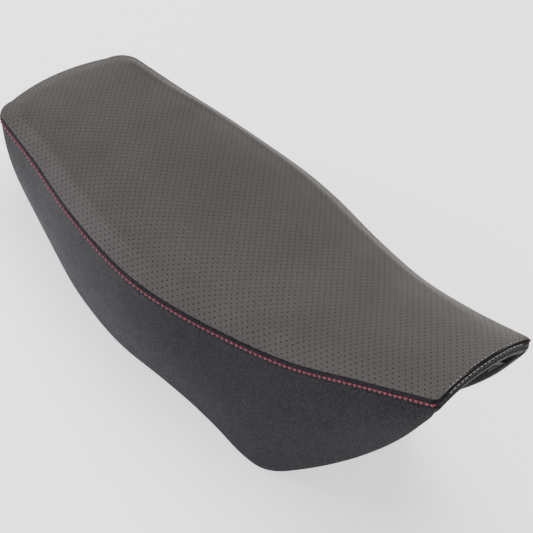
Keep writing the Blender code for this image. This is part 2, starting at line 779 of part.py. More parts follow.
def bench_pitch():
    """Angle of the bench under the seat: from the rear pads' rear edge, touching the wings from below."""
    contact = NOSE_Y + PAD_STATIONS[-1] + PAD_RADIUS - PAD_BEVEL
    steepest = 0.0
    for i in range(10 * SIDE_STEPS):
        y = NOSE_Y + LENGTH / 2 * i / (10 * SIDE_STEPS)
        steepest = max(steepest, (RAIL_HEIGHT - edge_height(y)) / (contact - y))
    return math.atan(steepest)


def lay_on_bench(pieces):
    """Parent every piece to an empty, pitch it tail down, and put the origin under the middle."""
    bench = bpy.data.objects.new("bench", None)
    bpy.context.scene.collection.objects.link(bench)
    turn = Matrix.Rotation(-bench_pitch(), 4, "X")
    graph = bpy.context.evaluated_depsgraph_get()
    corners = []
    for piece in pieces:
        mesh = piece.evaluated_get(graph).to_mesh()
        corners += [turn @ vert.co for vert in mesh.vertices]
        piece.parent = bench
    low, high = min(c.y for c in corners), max(c.y for c in corners)
    floor = min(c.z for c in corners)
    bench.matrix_world = Matrix.Translation((0, -(low + high) / 2, -floor)) @ turn


def main():
    for old in list(bpy.data.objects):
        bpy.data.objects.remove(old)
    pieces = [
        cover_top_panel(),
        cover_side_panel("cover_side_panel_left", 1),
        cover_side_panel("cover_side_panel_right", -1),
        cover_nose_band(),
        foam_cushion(),
        seat_base(),
        front_tongue(),
        latch_striker(),
    ]
    pieces += [frame_pad(*place) for place in pad_places()]
    plate_bottom = TONGUE_HEIGHT - GAP - TONGUE_PLATE
    for number, (x, y) in enumerate(tongue_bolt_places(), 1):
        pieces.append(flange_bolt(f"tongue_bolt_{number}", x, y, plate_bottom))
    plate_bottom = STRIKER_HEIGHT - GAP - STRIKER_PLATE[2]
    for number, (x, y) in enumerate(striker_bolt_places(), 1):
        pieces.append(flange_bolt(f"striker_bolt_{number}", x, y, plate_bottom))
    lay_on_bench(pieces)


main()
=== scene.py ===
"""Looks of the motorcycle seat: a sewn vinyl cover over foam, on its moulded base with fixings."""

import json
import math

import bmesh
import bpy
import numpy as np
from mathutils import Matrix, Vector


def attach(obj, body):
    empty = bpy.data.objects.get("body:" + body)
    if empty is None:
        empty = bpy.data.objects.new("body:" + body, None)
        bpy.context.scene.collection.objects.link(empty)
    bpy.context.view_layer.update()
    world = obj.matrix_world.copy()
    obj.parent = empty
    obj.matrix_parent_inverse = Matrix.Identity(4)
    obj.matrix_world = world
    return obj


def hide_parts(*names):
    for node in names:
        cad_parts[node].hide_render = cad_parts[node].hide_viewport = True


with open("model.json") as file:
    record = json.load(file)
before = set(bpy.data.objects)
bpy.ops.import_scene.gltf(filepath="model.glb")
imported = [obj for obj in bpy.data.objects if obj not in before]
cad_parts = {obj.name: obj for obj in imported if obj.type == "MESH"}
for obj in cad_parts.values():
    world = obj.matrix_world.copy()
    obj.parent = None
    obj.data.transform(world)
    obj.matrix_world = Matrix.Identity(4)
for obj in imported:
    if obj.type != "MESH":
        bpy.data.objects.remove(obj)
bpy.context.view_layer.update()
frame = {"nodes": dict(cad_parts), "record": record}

# ---------------------------------------------------------------- sizes, in metres
# Shapes are given in the mounted seat's own frame: -Y is the front, +Z up, +X the rider's left.

LENGTH, WIDTH = 0.600, 0.232
TAIL_OVERHANG = 0.0175
NOSE_Y, TAIL_Y = -LENGTH / 2, LENGTH / 2 + TAIL_OVERHANG
BASE_FRONT = NOSE_Y + 0.021
TAIL_CORNER, TAIL_BOW = 0.024, 0.011
NOSE_CORNER = 0.005                 # plan radius of the cover's front corners
NOSE_COLUMNS = 14                   # mesh columns from the nose's middle to its corner
NOSE_NEAR = (
    0, 0.0003, 0.0008, 0.0015, 0.0024, 0.0035, 0.0050, 0.0070, 0.0095, 0.0125, 0.0160,
)                                   # mesh columns just behind that corner
STEP = 0.0042                       # and the step between the columns further back
TAIL_TURN_COLUMNS, TAIL_COLUMNS = 12, 18

# Each curve of the outline as (share of the length from the nose, value).
HALF_WIDTH_SHARE = (
    (0.0, 0.48), (0.125, 0.585), (0.25, 0.72), (0.375, 0.85), (0.5, 0.97),
    (0.6, 1.0), (0.75, 0.935), (0.875, 0.828), (1.0, 0.744),
)
SEAM_HEIGHT = (
    (0.0, 0.221), (0.125, 0.192), (0.25, 0.167), (0.375, 0.157), (0.5, 0.155),
    (0.625, 0.157), (0.75, 0.163), (0.875, 0.172), (1.0, 0.180),
)
CROWN_RISE = ((0.0, 0.0105), (0.2, 0.022), (0.45, 0.026), (0.75, 0.0264), (1.0, 0.0100))
SHOULDER_POWER = ((0.0, 2.4), (0.3, 3.8), (1.0, 4.1))
LOWER_EDGE = (
    (0.0, 0.205), (0.055, 0.1485), (0.115, 0.0995), (0.175, 0.059), (0.24, 0.022), (0.28, 0.003),
    (0.312, -0.004), (0.35, 0.001), (0.4, 0.0175), (0.46, 0.032), (0.53, 0.039), (0.64, 0.036),
    (0.72, 0.039), (0.8, 0.048), (0.88, 0.067), (0.96, 0.094), (1.0, 0.102),
)
DECK_HEIGHT = (
    (0.0, 0.226), (0.1, 0.178), (0.2, 0.139), (0.3, 0.110), (0.4, 0.095), (0.5, 0.086),
    (0.6, 0.083), (0.7, 0.087), (0.8, 0.098), (0.9, 0.118), (1.0, 0.142),
)

# The cushion's top.
DOME_END = 0.130                    # ahead of the tail, where the crown's ridge ends
TOP_NEAR = (0.0, 0.0005, 0.0011, 0.0018, 0.0027, 0.0040, 0.0060, 0.0090, 0.0130)
TOP_ROWS, TOP_ROW_POWER = 34, 1.15
TOP_ROLL = (0.0018, 0.0022)         # width and depth of the roll into the seam
SHOULDER_IN, SHOULDER_WIDTH, SHOULDER_LIFT = 0.022, 0.0075, 0.0017      # of the moulded foam
SHOULDER_START, SHOULDER_RUN = 0.02, 0.12           # behind the nose, where it rises
TAIL_FADE, TAIL_FADE_FROM, TAIL_FADE_RUN = 0.75, 0.25, 0.6     # where the seam turns to the back
UNDER_SHARES = (1.0, 0.8, 0.6, 0.4, 0.2, 0.06)      # rows of the underside, from its middle out
UNDER_DROP, UNDER_FROM_SEAM = 0.001, 0.02

# The cover's sides.
VINYL = 0.0012                      # their wall
TUCK, TAIL_TUCK, TUCK_RUN = 0.004, 0.030, 0.10      # how far the lower edge lies inside the seam
SIDE_NEAR = (
    0.0, 0.0005, 0.0010, 0.0017, 0.0025, 0.0033, 0.0040, 0.0046, 0.0053, 0.0062, 0.0078, 0.0105,
)
SIDE_NEAR_HEIGHT = 0.016            # a lower side has its near rows closer together
SIDE_ROWS = 30
SIDE_BULGE, FULL_BULGE_HEIGHT, LEAST_BULGE = 0.004, 0.07, 0.0008
SIDE_ROLL = (0.0011, 0.0020)
FOLD_WIDTH, FOLD_HEIGHT, FOLD_ROWS = 0.0074, 0.0032, 7
CORNER_SEAM = (0.0045, 0.0009, 0.0006)      # behind the nose corner; depth; width
CORNER_SEAM_START = 0.0012                  # below the top's seam
TAIL_SEAM = (0.0010, 0.0008)                # depth; width

# The cover turned up inside the base's rim: a hem, tall behind the nose.
HEM, HEM_ROWS = 0.014, 12
LEAST_HEM, LEAST_LEDGE_HEM, LEDGE_GAP = 0.0055, 0.006, 0.0055
TALL_HEM, TALL_HEM_END, TALL_HEM_FADE, TALL_HEM_BLEND = 0.040, 0.02, 0.055, 0.015
RIM_LAND, RIM_SHARE = 0.018, 0.35           # the base's ledge above the lower edge
RIM_STEP, RIM_STEP_BELOW = 0.0040, 0.0080
DECK_EDGE_DROP, DECK_EDGE_RUN, DECK_CLEARANCE = 0.013, 0.18, 0.010
WALL_LEAN, WALL_TOP, LEAST_WALL = 0.009, 0.004, 0.004
PLEAT, TALL_PLEAT = 0.00025, 0.0009
PLEAT_WAVE, FINE_WAVE, FINE_SHARE = 0.0021, 0.0013, 0.6
BAND = 0.0135                               # height of the cover below the nose seam
NOSE_SLOPE = 0.75
NOSE_RETURN, RETURN_SLOPE = 0.031, 0.60     # how far it turns back under the nose, and its fall
RETURN_TAPER, RETURN_FOLDS = 0.05, 6
NOSE_TURN = 0.0040                          # behind the nose, where that has become the hem

# Threads and staples.
STITCH = 0.0055                     # red topstitching, one stitch and its gap
STITCH_LENGTH, STITCH_RADIUS = 0.0052, 0.00118
STITCH_DROP = 0.0062                # below the seam
STITCH_SLANT, STITCH_LEAN = math.radians(-9), 0.12
RED_START = NOSE_COLUMNS + 3        # the first column with red stitches
NOSE_STITCH = 0.0042
NOSE_STITCH_LENGTH, NOSE_STITCH_RADIUS = 0.0034, 0.00048
NOSE_UPPER, NOSE_LOWER = 0.0026, 0.0036     # from the seam to the two rows of nose stitches
NOSE_SECOND_COLUMN = 6              # gives the top's slope behind the nose
STRAND_OFFSET = 0.013               # between one stitch's thread texture and the next one's
STAPLE_PITCH, STAPLE_WIDTH, STAPLE_WIRE = 0.019, 0.0100, 0.0009
STAPLE_ROW, STAPLE_START = 7, BASE_FRONT + 0.045

# Each soft ridge or dip of the sides below the seam: height, distance down, width.
SIDE_PROFILE = (
    (0.00040, 0.0030, 0.0014),
    (-0.00055, STITCH_DROP, 0.0009),
    (0.00030, STITCH_DROP + 0.0028, 0.0018),
)

MERGE = 2e-5
TINY = 1e-12
MIRROR = np.array([-1, 1, 1])

# Where the mounted seat's own frame lies in the row frame: pitched, resting on its wings.
rear_rest = next(m for m in frame["record"]["mounts"] if m["name"] == "rail_rest_rear_left")
down = rear_rest["axis"]
TURN = np.array([[1, 0, 0], [0, -down[2], -down[1]], [0, down[1], -down[2]]])
REAR_PAD = np.array([0.060, NOSE_Y + 0.480, 0.045])
SHIFT = np.array(rear_rest["pos_m"]) - TURN @ REAR_PAD


def placed(points):
    """Points of the mounted seat's frame, in the row frame."""
    return np.asarray(points) @ TURN.T + SHIFT


# ---------------------------------------------------------------- shape functions

def curve(points):
    """A smooth function of y through these (share of the length, value) points."""
    xs = np.array([x for x, _ in points])
    ys = np.array([y for _, y in points])
    last = len(xs) - 1
    low = np.maximum(np.arange(last + 1) - 1, 0)
    high = np.minimum(np.arange(last + 1) + 1, last)
    slopes = (ys[high] - ys[low]) / (xs[high] - xs[low])

    def value(x):
        x = np.clip(x, xs[0], xs[-1])
        i = np.clip(np.searchsorted(xs, x, side="right") - 1, 0, last - 1)
        step = xs[i + 1] - xs[i]
        t = (x - xs[i]) / step
        return (
            ys[i] * (1 + 2 * t) * (1 - t) ** 2 + slopes[i] * step * t * (1 - t) ** 2
            + ys[i + 1] * t * t * (3 - 2 * t) + slopes[i + 1] * step * t * t * (t - 1)
        )

    return lambda y: value((np.asarray(y, float) - NOSE_Y) / LENGTH)


width_share = curve(HALF_WIDTH_SHARE)
seam_height = curve(SEAM_HEIGHT)
rise = curve(CROWN_RISE)
power = curve(SHOULDER_POWER)
edge_height = curve(LOWER_EDGE)
deck_height = curve(DECK_HEIGHT)


def smooth(x):
    """Rises from 0 to 1 between 0 and 1."""
    x = np.clip(x, 0, 1)
    return x * x * (3 - 2 * x)


def hump(x, at, width):
    """A soft ridge of height 1 at this place."""
    return np.exp(-(((x - at) / width) ** 2))


def unit(v):
    return v / max(np.linalg.norm(v), TINY)


def half_width(y):
    back = np.clip(NOSE_CORNER - (np.asarray(y, float) - NOSE_Y), 0, NOSE_CORNER)
    return WIDTH / 2 * width_share(y) - NOSE_CORNER + np.sqrt(NOSE_CORNER**2 - back**2)


def crown(k, y):
    """Share of the crown's rise at share k of the way from the seam to the ridge."""
    return 1 - (1 - k) ** power(y)


def side_outline():
    """Seam and lower edge in plan, from the left nose corner to the middle of the tail."""
    turn = TAIL_Y - TAIL_CORNER
    start = NOSE_Y + NOSE_NEAR[-1]
    count = round((turn - start) / STEP)
    further = start + (turn - start) * np.arange(1, count + 1) / count
    ys = np.concatenate([NOSE_Y + np.array(NOSE_NEAR), further])
    turn_low = turn - TAIL_TUCK
    squeeze = (turn_low - BASE_FRONT) / (turn - BASE_FRONT)
    ys_low = np.where(ys > BASE_FRONT, BASE_FRONT + (ys - BASE_FRONT) * squeeze, ys)
    tuck = TUCK * smooth((ys_low - NOSE_Y) / TUCK_RUN)
    seam = [np.stack([half_width(ys), ys], 1)]
    edge = [np.stack([half_width(ys_low) - tuck, ys_low], 1)]
    angles = np.linspace(0, math.pi / 2, TAIL_TURN_COLUMNS)[1:]
    across = np.linspace(1, 0, TAIL_COLUMNS)[1:]
    for part, at, pulled in ((seam, turn, 0.0), (edge, turn_low, TUCK)):
        y = at + TAIL_CORNER * np.sin(angles)
        x = WIDTH / 2 * width_share(y) - pulled - TAIL_CORNER * (1 - np.cos(angles))
        part.append(np.stack([x, y], 1))
        bowed = at + TAIL_CORNER + TAIL_BOW * (1 - across**2)
        part.append(np.stack([x[-1] * across, bowed], 1))
    return np.concatenate(seam), np.concatenate(edge)


def mirrored(half, signs):
    """The columns of a half grid, then their mirror images back from the last one, in one grid."""
    return np.concatenate([half, half[:, -2::-1] * np.array(signs)], axis=1)


def normals_of(grid):
    along = np.gradient(grid, axis=1)
    down_rows = np.gradient(grid, axis=0)
    normal = np.cross(along, down_rows)
    length = np.linalg.norm(normal, axis=2, keepdims=True)
    return normal / np.maximum(length, TINY)


def arc(points, axis):
    """Distance along the rows or columns of a grid of points."""
    steps = np.linalg.norm(np.diff(points, axis=axis), axis=-1)
    zero = np.zeros_like(np.take(steps, [0], axis=axis))
    return np.concatenate([zero, np.cumsum(steps, axis=axis)], axis=axis)


def line_arc(points):
    """Distance along one line of points."""
    return arc(points[None], 1)[0]


def rolled(distance, width, depth):
    """How far a panel's edge rolls in, at this distance from its seam."""
    inner = np.clip(1 - distance / width, 0, 1)
    return depth * (1 - np.sqrt(1 - inner**2))


# ---------------------------------------------------------------- meshes

def linked(name, mesh):
    """A new object with this mesh, in the scene."""
    made = bpy.data.objects.new(name, mesh)
    bpy.context.scene.collection.objects.link(made)
    return made


def set_uv(mesh, layer_name, uv):
    """A uv map that gives each vertex one place, in metres."""
    layer = mesh.uv_layers.new(name=layer_name)
    loops = np.empty(len(mesh.loops), np.int32)
    mesh.loops.foreach_get("vertex_index", loops)
    layer.data.foreach_set("uv", uv[loops].astype(np.float32).ravel())


def grid_object(name, grid, uv, from_seam, inside, closed=False):
    """A smooth quad mesh over a grid of points, with its faces turned away from the inside."""
    rows, cols = grid.shape[:2]
    index = np.arange(rows * cols).reshape(rows, cols)
    quads = np.stack([index[:-1, :-1], index[:-1, 1:], index[1:, 1:], index[1:, :-1]], -1)
    mesh = bpy.data.meshes.new(name)
    mesh.from_pydata(placed(grid.reshape(-1, 3)).tolist(), [], quads.reshape(-1, 4).tolist())
    set_uv(mesh, "panel", uv.reshape(-1, 2))
    seam_layer = mesh.attributes.new("from_seam", "FLOAT", "POINT")
    seam_layer.data.foreach_set("value", from_seam.astype(np.float32).ravel())
    bm = bmesh.new()
    bm.from_mesh(mesh)
    bmesh.ops.remove_doubles(bm, verts=bm.verts, dist=MERGE)
    if closed:
        open_edges = [edge for edge in bm.edges if edge.is_boundary]
        filled = bmesh.ops.holes_fill(bm, edges=open_edges, sides=0)["faces"]
        bmesh.ops.triangulate(bm, faces=filled)
    bmesh.ops.recalc_face_normals(bm, faces=bm.faces)
    middle = Vector(placed(inside))
    facing = sum(
        face.calc_area() * face.normal.dot(face.calc_center_median() - middle)
        for face in bm.faces
    )
    if facing < 0:
        bmesh.ops.reverse_faces(bm, faces=bm.faces)
    bm.to_mesh(mesh)
    bm.free()
    mesh.shade_smooth()
    return linked(name, mesh)


def thicken(obj, thickness):
    """Gives a skin its wall, on the inner side."""
    wall = obj.modifiers.new("wall", "SOLIDIFY")
    wall.thickness = thickness
    wall.offset = -1
    bpy.ops.object.select_all(action="DESELECT")
    obj.select_set(True)
    bpy.context.view_layer.objects.active = obj
    bpy.ops.object.modifier_apply(modifier=wall.name)


def top_grid():
    """The cushion's left half, from the seam to the ridge: points, uv, distance from the edge."""
    seam, _ = side_outline()
    ridge_y = np.minimum(seam[:, 1], TAIL_Y - DOME_END)
    span = np.hypot(seam[:, 0], seam[:, 1] - ridge_y)
    near = np.array(TOP_NEAR)[:, None] / span[None]
    first = near[-1]
    share = (np.arange(1, TOP_ROWS + 1)[:, None] / TOP_ROWS) ** TOP_ROW_POWER
    k = np.concatenate([near, first + (1 - first) * share])
    x = seam[:, 0] * (1 - k)
    y = seam[:, 1] * (1 - k) + ridge_y * k
    low = seam_height(seam[:, 1])
    high = seam_height(ridge_y) + rise(ridge_y)
    z = low + (high - low) * crown(k, seam[:, 1][None] + 0 * k)
    half = np.stack([x, y, z], -1)
    inward = arc(half, 0)
    along = np.gradient(seam, axis=0)
    facing_back = -along[:, 0] / np.linalg.norm(along, axis=1)
    fade = smooth((seam[:, 1] - NOSE_Y - SHOULDER_START) / SHOULDER_RUN)
    fade = fade * (1 - TAIL_FADE * smooth((facing_back - TAIL_FADE_FROM) / TAIL_FADE_RUN))
    half[..., 2] += SHOULDER_LIFT * hump(inward, SHOULDER_IN, SHOULDER_WIDTH) * fade
    out = inward[-1:] - inward
    direction = np.stack([seam[:, 0], seam[:, 1] - ridge_y], -1) / span[:, None]
    ridge_line = np.stack([0 * ridge_y, ridge_y, high], -1)
    uv = direction[None] * out[..., None]
    uv[..., 1] += line_arc(ridge_line)[None]
    return half, uv, np.minimum(inward, arc(half, 1))


def cover_top():
    """The perforated top and its foam, closed below by a hidden underside."""
    half, uv, distance = top_grid()
    normal = normals_of(half)
    normal[-1] = (0, 0, 1)
    normal[..., [0, 2]] = np.abs(normal[..., [0, 2]])
    half = half - normal * rolled(distance, *TOP_ROLL)[..., None]
    seat_line, ridge = half[0], half[-1] * np.array([1, 1, 0])
    ridge[:, 2] = seam_height(ridge[:, 1])
    share = np.array(UNDER_SHARES)[:, None, None]
    under = seat_line * (1 - share) + ridge * share
    under[..., 2] -= UNDER_DROP * smooth(share[..., 0] / UNDER_SHARES[-1])
    half = np.concatenate([under, half])
    uv = np.concatenate([uv[0] * (1 - share) + uv[-1] * share, uv])
    distance = np.concatenate([np.full(under.shape[:2], UNDER_FROM_SEAM), distance])
    return grid_object(
        "cover_top", mirrored(half, MIRROR), mirrored(uv, (-1, 1)), mirrored(distance, 1),
        inside=(0, 0, 0), closed=True,
    )


def skirt_outline():
    """Plan and heights of the sides' seam and lower edge, from the nose's middle to the tail's."""
    seam, edge = side_outline()
    share = np.arange(NOSE_COLUMNS) / NOSE_COLUMNS
    nose_y = np.full(NOSE_COLUMNS, NOSE_Y)
    seam = np.concatenate([np.stack([share * seam[0, 0], nose_y], 1), seam])
    edge = np.concatenate([np.stack([share * edge[0, 0], nose_y], 1), edge])
    along = np.gradient(seam, axis=0)
    normal = np.stack([along[:, 1], -along[:, 0]], 1)
    normal /= np.linalg.norm(normal, axis=1, keepdims=True)
    normal[0], normal[-1] = (0, -1), (0, 1)
    top = seam_height(seam[:, 1])
    top[:NOSE_COLUMNS] += rise(NOSE_Y) * crown(1 - share, nose_y)
    low = edge_height(edge[:, 1])
    low[:NOSE_COLUMNS] = top[:NOSE_COLUMNS] - (seam_height(NOSE_Y) - edge_height(NOSE_Y))
    return seam, edge, normal, top, low


def with_heights(plan, heights):
    return np.concatenate([plan, heights[..., None]], -1)


def side_rows(seam, edge, normal, top, low):
    """The sides from the seam down to the fold, with the seams at the nose corner and tail."""
    height = top - low - FOLD_HEIGHT
    squeeze = np.minimum(1, height / SIDE_NEAR_HEIGHT)
    near = np.array(SIDE_NEAR)[:, None] * squeeze[None] / height[None]
    first = near[-1]
    share = np.arange(1, SIDE_ROWS + 1)[:, None] / SIDE_ROWS
    h = np.concatenate([near, first + (1 - first) * share])
    swell = (SIDE_BULGE * smooth(height / FULL_BULGE_HEIGHT) + LEAST_BULGE) * np.sin(math.pi * h)
    flat = seam[None] * (1 - h[..., None]) + edge[None] * h[..., None]
    flat = flat + normal[None] * swell[..., None]
    distance = h * height[None]
    shape = -rolled(distance, *SIDE_ROLL)
    for lift, at, width in SIDE_PROFILE:
        shape = shape + lift * hump(distance, at, width)
    line = line_arc(with_heights(seam, top))
    behind, depth, width = CORNER_SEAM
    corner = hump(line, line[NOSE_COLUMNS] + behind, width)
    shape -= depth * corner[None] * (distance > CORNER_SEAM_START)
    depth, width = TAIL_SEAM
    shape -= depth * hump(line, line[-1], width)[None]
    flat += normal[None] * shape[..., None]
    return with_heights(flat, top - height * h), line


def fold_rows(edge, normal, low):
    """The cover's turn under its lower edge."""
    rows = []
    for angle in np.linspace(0, math.pi, FOLD_ROWS + 1)[1:]:
        plan = edge - normal * (FOLD_WIDTH / 2 * (1 - math.cos(angle)))
        rows.append(with_heights(plan, low + FOLD_HEIGHT * (1 - math.sin(angle))))
    return np.array(rows)


def hem_rows(edge, normal, low):
    """The cover inside the base's rim, up to the ledge or, behind the nose, nearly to the deck."""
    y = edge[:, 1]
    even = line_arc(edge) + 1e-6 * np.arange(len(edge))
    ledge = np.minimum(
        RIM_LAND * np.hypot(1, np.gradient(low, even)), RIM_SHARE * (seam_height(y) - low)
    )
    deck = deck_height(y) - DECK_EDGE_DROP * np.clip(1 - (y - NOSE_Y) / DECK_EDGE_RUN, 0, None)
    deck = deck - DECK_CLEARANCE
    nose_under = seam_height(NOSE_Y) - BAND - NOSE_SLOPE * (y - NOSE_Y)
    roof = np.where(y < BASE_FRONT, nose_under, deck) - low
    wanted = HEM + TALL_HEM * (1 - smooth((y - BASE_FRONT - TALL_HEM_END) / TALL_HEM_FADE))
    reach = np.clip(np.minimum(wanted, roof), LEAST_HEM, None)
    under_ledge = np.minimum(reach, np.maximum(ledge - LEDGE_GAP, LEAST_LEDGE_HEM))
    reach = np.where(wanted > HEM + 1e-4, reach, under_ledge)
    edge_line = line_arc(with_heights(edge, low))
    wave = np.sin(edge_line / PLEAT_WAVE) + FINE_SHARE * np.sin(edge_line / FINE_WAVE + 1.0)
    tall = smooth((reach - HEM) / TALL_HEM_BLEND)
    wall = np.maximum(deck - WALL_TOP - low - ledge, LEAST_WALL)
    rows = []
    for i in range(1, HEM_ROWS + 1):
        t = FOLD_HEIGHT + (reach - FOLD_HEIGHT) * i / HEM_ROWS
        step_in = RIM_STEP * smooth((t - ledge + RIM_STEP_BELOW) / RIM_STEP)
        climb = np.clip((t - ledge) / wall, 0, 1) * WALL_LEAN
        inset = FOLD_WIDTH + np.where(y > BASE_FRONT, step_in + climb, 0)
        pleat = (PLEAT + TALL_PLEAT * tall) * (i / HEM_ROWS)
        rows.append(with_heights(edge - normal * (inset + pleat * wave)[:, None], low + t))
    return np.array(rows)


def turned_under(inside, edge, low):
    """The fold and hem, with their nose columns laid back under the nose instead."""
    share = (np.arange(len(inside)) + 1)[:, None] / len(inside)
    back_run = NOSE_RETURN * share
    nose = 1 - smooth((edge[:, 1] - NOSE_Y) / NOSE_TURN)
    band_low = np.where(np.arange(len(edge)) < NOSE_COLUMNS, low, low[NOSE_COLUMNS])
    fold = FOLD_HEIGHT * (1 - smooth(share * RETURN_FOLDS))
    returned = np.stack([
        edge[None, :, 0] * (1 - RETURN_TAPER * share),
        NOSE_Y + back_run + 0 * low[None],
        band_low[None] + fold - RETURN_SLOPE * back_run,
    ], -1)
    return inside + (returned - inside) * nose[None, :, None]


def cover_skirt():
    """The sides, nose band and hem in one skin, with what the stitches and staples follow."""
    seam, edge, normal, top, low = skirt_outline()
    sides, line = side_rows(seam, edge, normal, top, low)
    hem = hem_rows(edge, normal, low)
    inside = np.concatenate([fold_rows(edge, normal, low), hem])
    grid = np.concatenate([sides, turned_under(inside, edge, low)])
    grid[..., 0] = np.maximum(grid[..., 0], 0)
    grid[:, [0, -1], 0] = 0
    below = arc(grid, 0)
    uv = mirrored(np.stack([np.broadcast_to(line, below.shape), below], -1), (-1, 1))
    uv[:, len(line):, 0] += 2 * line[-1]
    made = grid_object(
        "cover_skirt", mirrored(grid, MIRROR), uv, mirrored(below, 1), inside=(0, 0, 0.12)
    )
    thicken(made, VINYL)
    return made, edge, normal, sides, hem


# ---------------------------------------------------------------- stitches and staples

def shape_of(obj):
    """The points and faces of a shape made with operators, which is then removed."""
    mesh = obj.data
    points = np.empty(len(mesh.vertices) * 3)
    mesh.vertices.foreach_get("co", points)
    faces = [list(face.vertices) for face in mesh.polygons]
    bpy.data.objects.remove(obj)
    return points.reshape(-1, 3), faces


def thread_shape(length, radius):
    """One stitch along X, arched over the surface at z = 0, with its ends below it."""
    bpy.ops.object.select_all(action="DESELECT")
    bpy.ops.mesh.primitive_cylinder_add(
        vertices=8, radius=radius, depth=length, end_fill_type="TRIFAN"
    )
    made = bpy.context.active_object
    bpy.ops.object.mode_set(mode="EDIT")
    bpy.ops.mesh.select_all(action="SELECT")
    bpy.ops.transform.rotate(value=math.pi / 2, orient_axis="Y", center_override=(0, 0, 0))
    bpy.ops.object.mode_set(mode="OBJECT")
    bm = bmesh.new()
    bm.from_mesh(made.data)
    for cut_at in np.linspace(-0.5, 0.5, 9)[1:-1] * length:
        geometry = bm.verts[:] + bm.edges[:] + bm.faces[:]
        bmesh.ops.bisect_plane(bm, geom=geometry, plane_co=(cut_at, 0, 0), plane_no=(1, 0, 0))
    for vert in bm.verts:
        share = abs(2 * vert.co.x / length)
        thin = 1 - 0.45 * share**3
        vert.co.y *= thin
        vert.co.z = vert.co.z * thin + radius * (0.42 - 1.5 * share**2.6)
    bm.to_mesh(made.data)
    bm.free()
    return shape_of(made)


def staple_shape(width, wire):
    """A staple's crown along X on the surface at z = 0, its legs going in."""
    bpy.ops.object.select_all(action="DESELECT")
    bpy.ops.mesh.primitive_cube_add(size=1)
    made = bpy.context.active_object
    bpy.ops.object.mode_set(mode="EDIT")
    bpy.ops.mesh.select_all(action="SELECT")
    bpy.ops.transform.resize(value=(width, wire * 1.3, wire), center_override=(0, 0, 0))
    bpy.ops.mesh.bevel(offset=wire * 0.3, segments=2)
    bpy.ops.object.mode_set(mode="OBJECT")
    for vert in made.data.vertices:
        if abs(vert.co.x) > width / 2 - 1.2 * wire:
            vert.co.z -= wire * 1.2 * (abs(vert.co.x) / (width / 2)) ** 4
        vert.co.z += wire * 0.25
    return shape_of(made)


def repeated(name, shape, frames):
    """One mesh with the shape at each (origin, along, across, outward)."""
    points, faces = shape
    all_points, all_faces = [], []
    for origin, along, across, outward in frames:
        start = len(all_points) * len(points)
        all_points.append(origin + points @ np.array([along, across, outward]))
        all_faces += [[i + start for i in face] for face in faces]
    mesh = bpy.data.meshes.new(name)
    mesh.from_pydata(placed(np.concatenate(all_points)).tolist(), [], all_faces)
    around = np.arctan2(points[:, 2], points[:, 1]) / math.tau
    strand = np.tile(np.stack([points[:, 0], around], 1), (len(frames), 1))
    strand[:, 0] += np.repeat(np.arange(len(frames)), len(points)) * STRAND_OFFSET
    set_uv(mesh, "strand", strand)
    mesh.validate()
    mesh.shade_smooth()
    bm = bmesh.new()
    bm.from_mesh(mesh)
    bmesh.ops.recalc_face_normals(bm, faces=bm.faces)
    bm.to_mesh(mesh)
    bm.free()
    return linked(name, mesh)


def at_distance(distance, line, points):
    """The point of a line at this distance along it."""
    return np.array([np.interp(distance, line, points[:, i]) for i in range(3)])


def frames_along(path, outwards, pitch, slant=0.0):
    """A frame at each stitch along a line of points: (origin, along, across, outward)."""
    line = line_arc(path)
    count = int(line[-1] / pitch - 0.5)
    made = []
    for at in (np.arange(count) + 0.5) * line[-1] / count:
        ahead = at_distance(at + pitch / 3, line, path)
        behind = at_distance(at - pitch / 3, line, path)
        along = unit(ahead - behind)
        outward = unit(at_distance(at, line, outwards))
        across = unit(np.cross(outward, along))
        outward = np.cross(along, across)
        turned = math.cos(slant) * along + math.sin(slant) * across
        origin = at_distance(at, line, path)
        made.append((origin, turned, np.cross(outward, turned), outward))
    return made


def both_sides(frames):
    """These frames, and their mirror images on the other side."""
    return frames + [tuple(part * MIRROR for part in one) for one in frames]


# ---------------------------------------------------------------- materials

class Wire:
    """A number on a node's output, which takes part in arithmetic."""

    def __init__(self, shader, socket):
        self.shader, self.socket = shader, socket

    def __add__(self, other):
        return self.shader.math("ADD", self, other)

    def __sub__(self, other):
        return self.shader.math("SUBTRACT", self, other)

    def __rsub__(self, other):
        return self.shader.math("SUBTRACT", other, self)

    def __mul__(self, other):
        return self.shader.math("MULTIPLY", self, other)

    def __truediv__(self, other):
        return self.shader.math("DIVIDE", self, other)

    __radd__, __rmul__ = __add__, __mul__


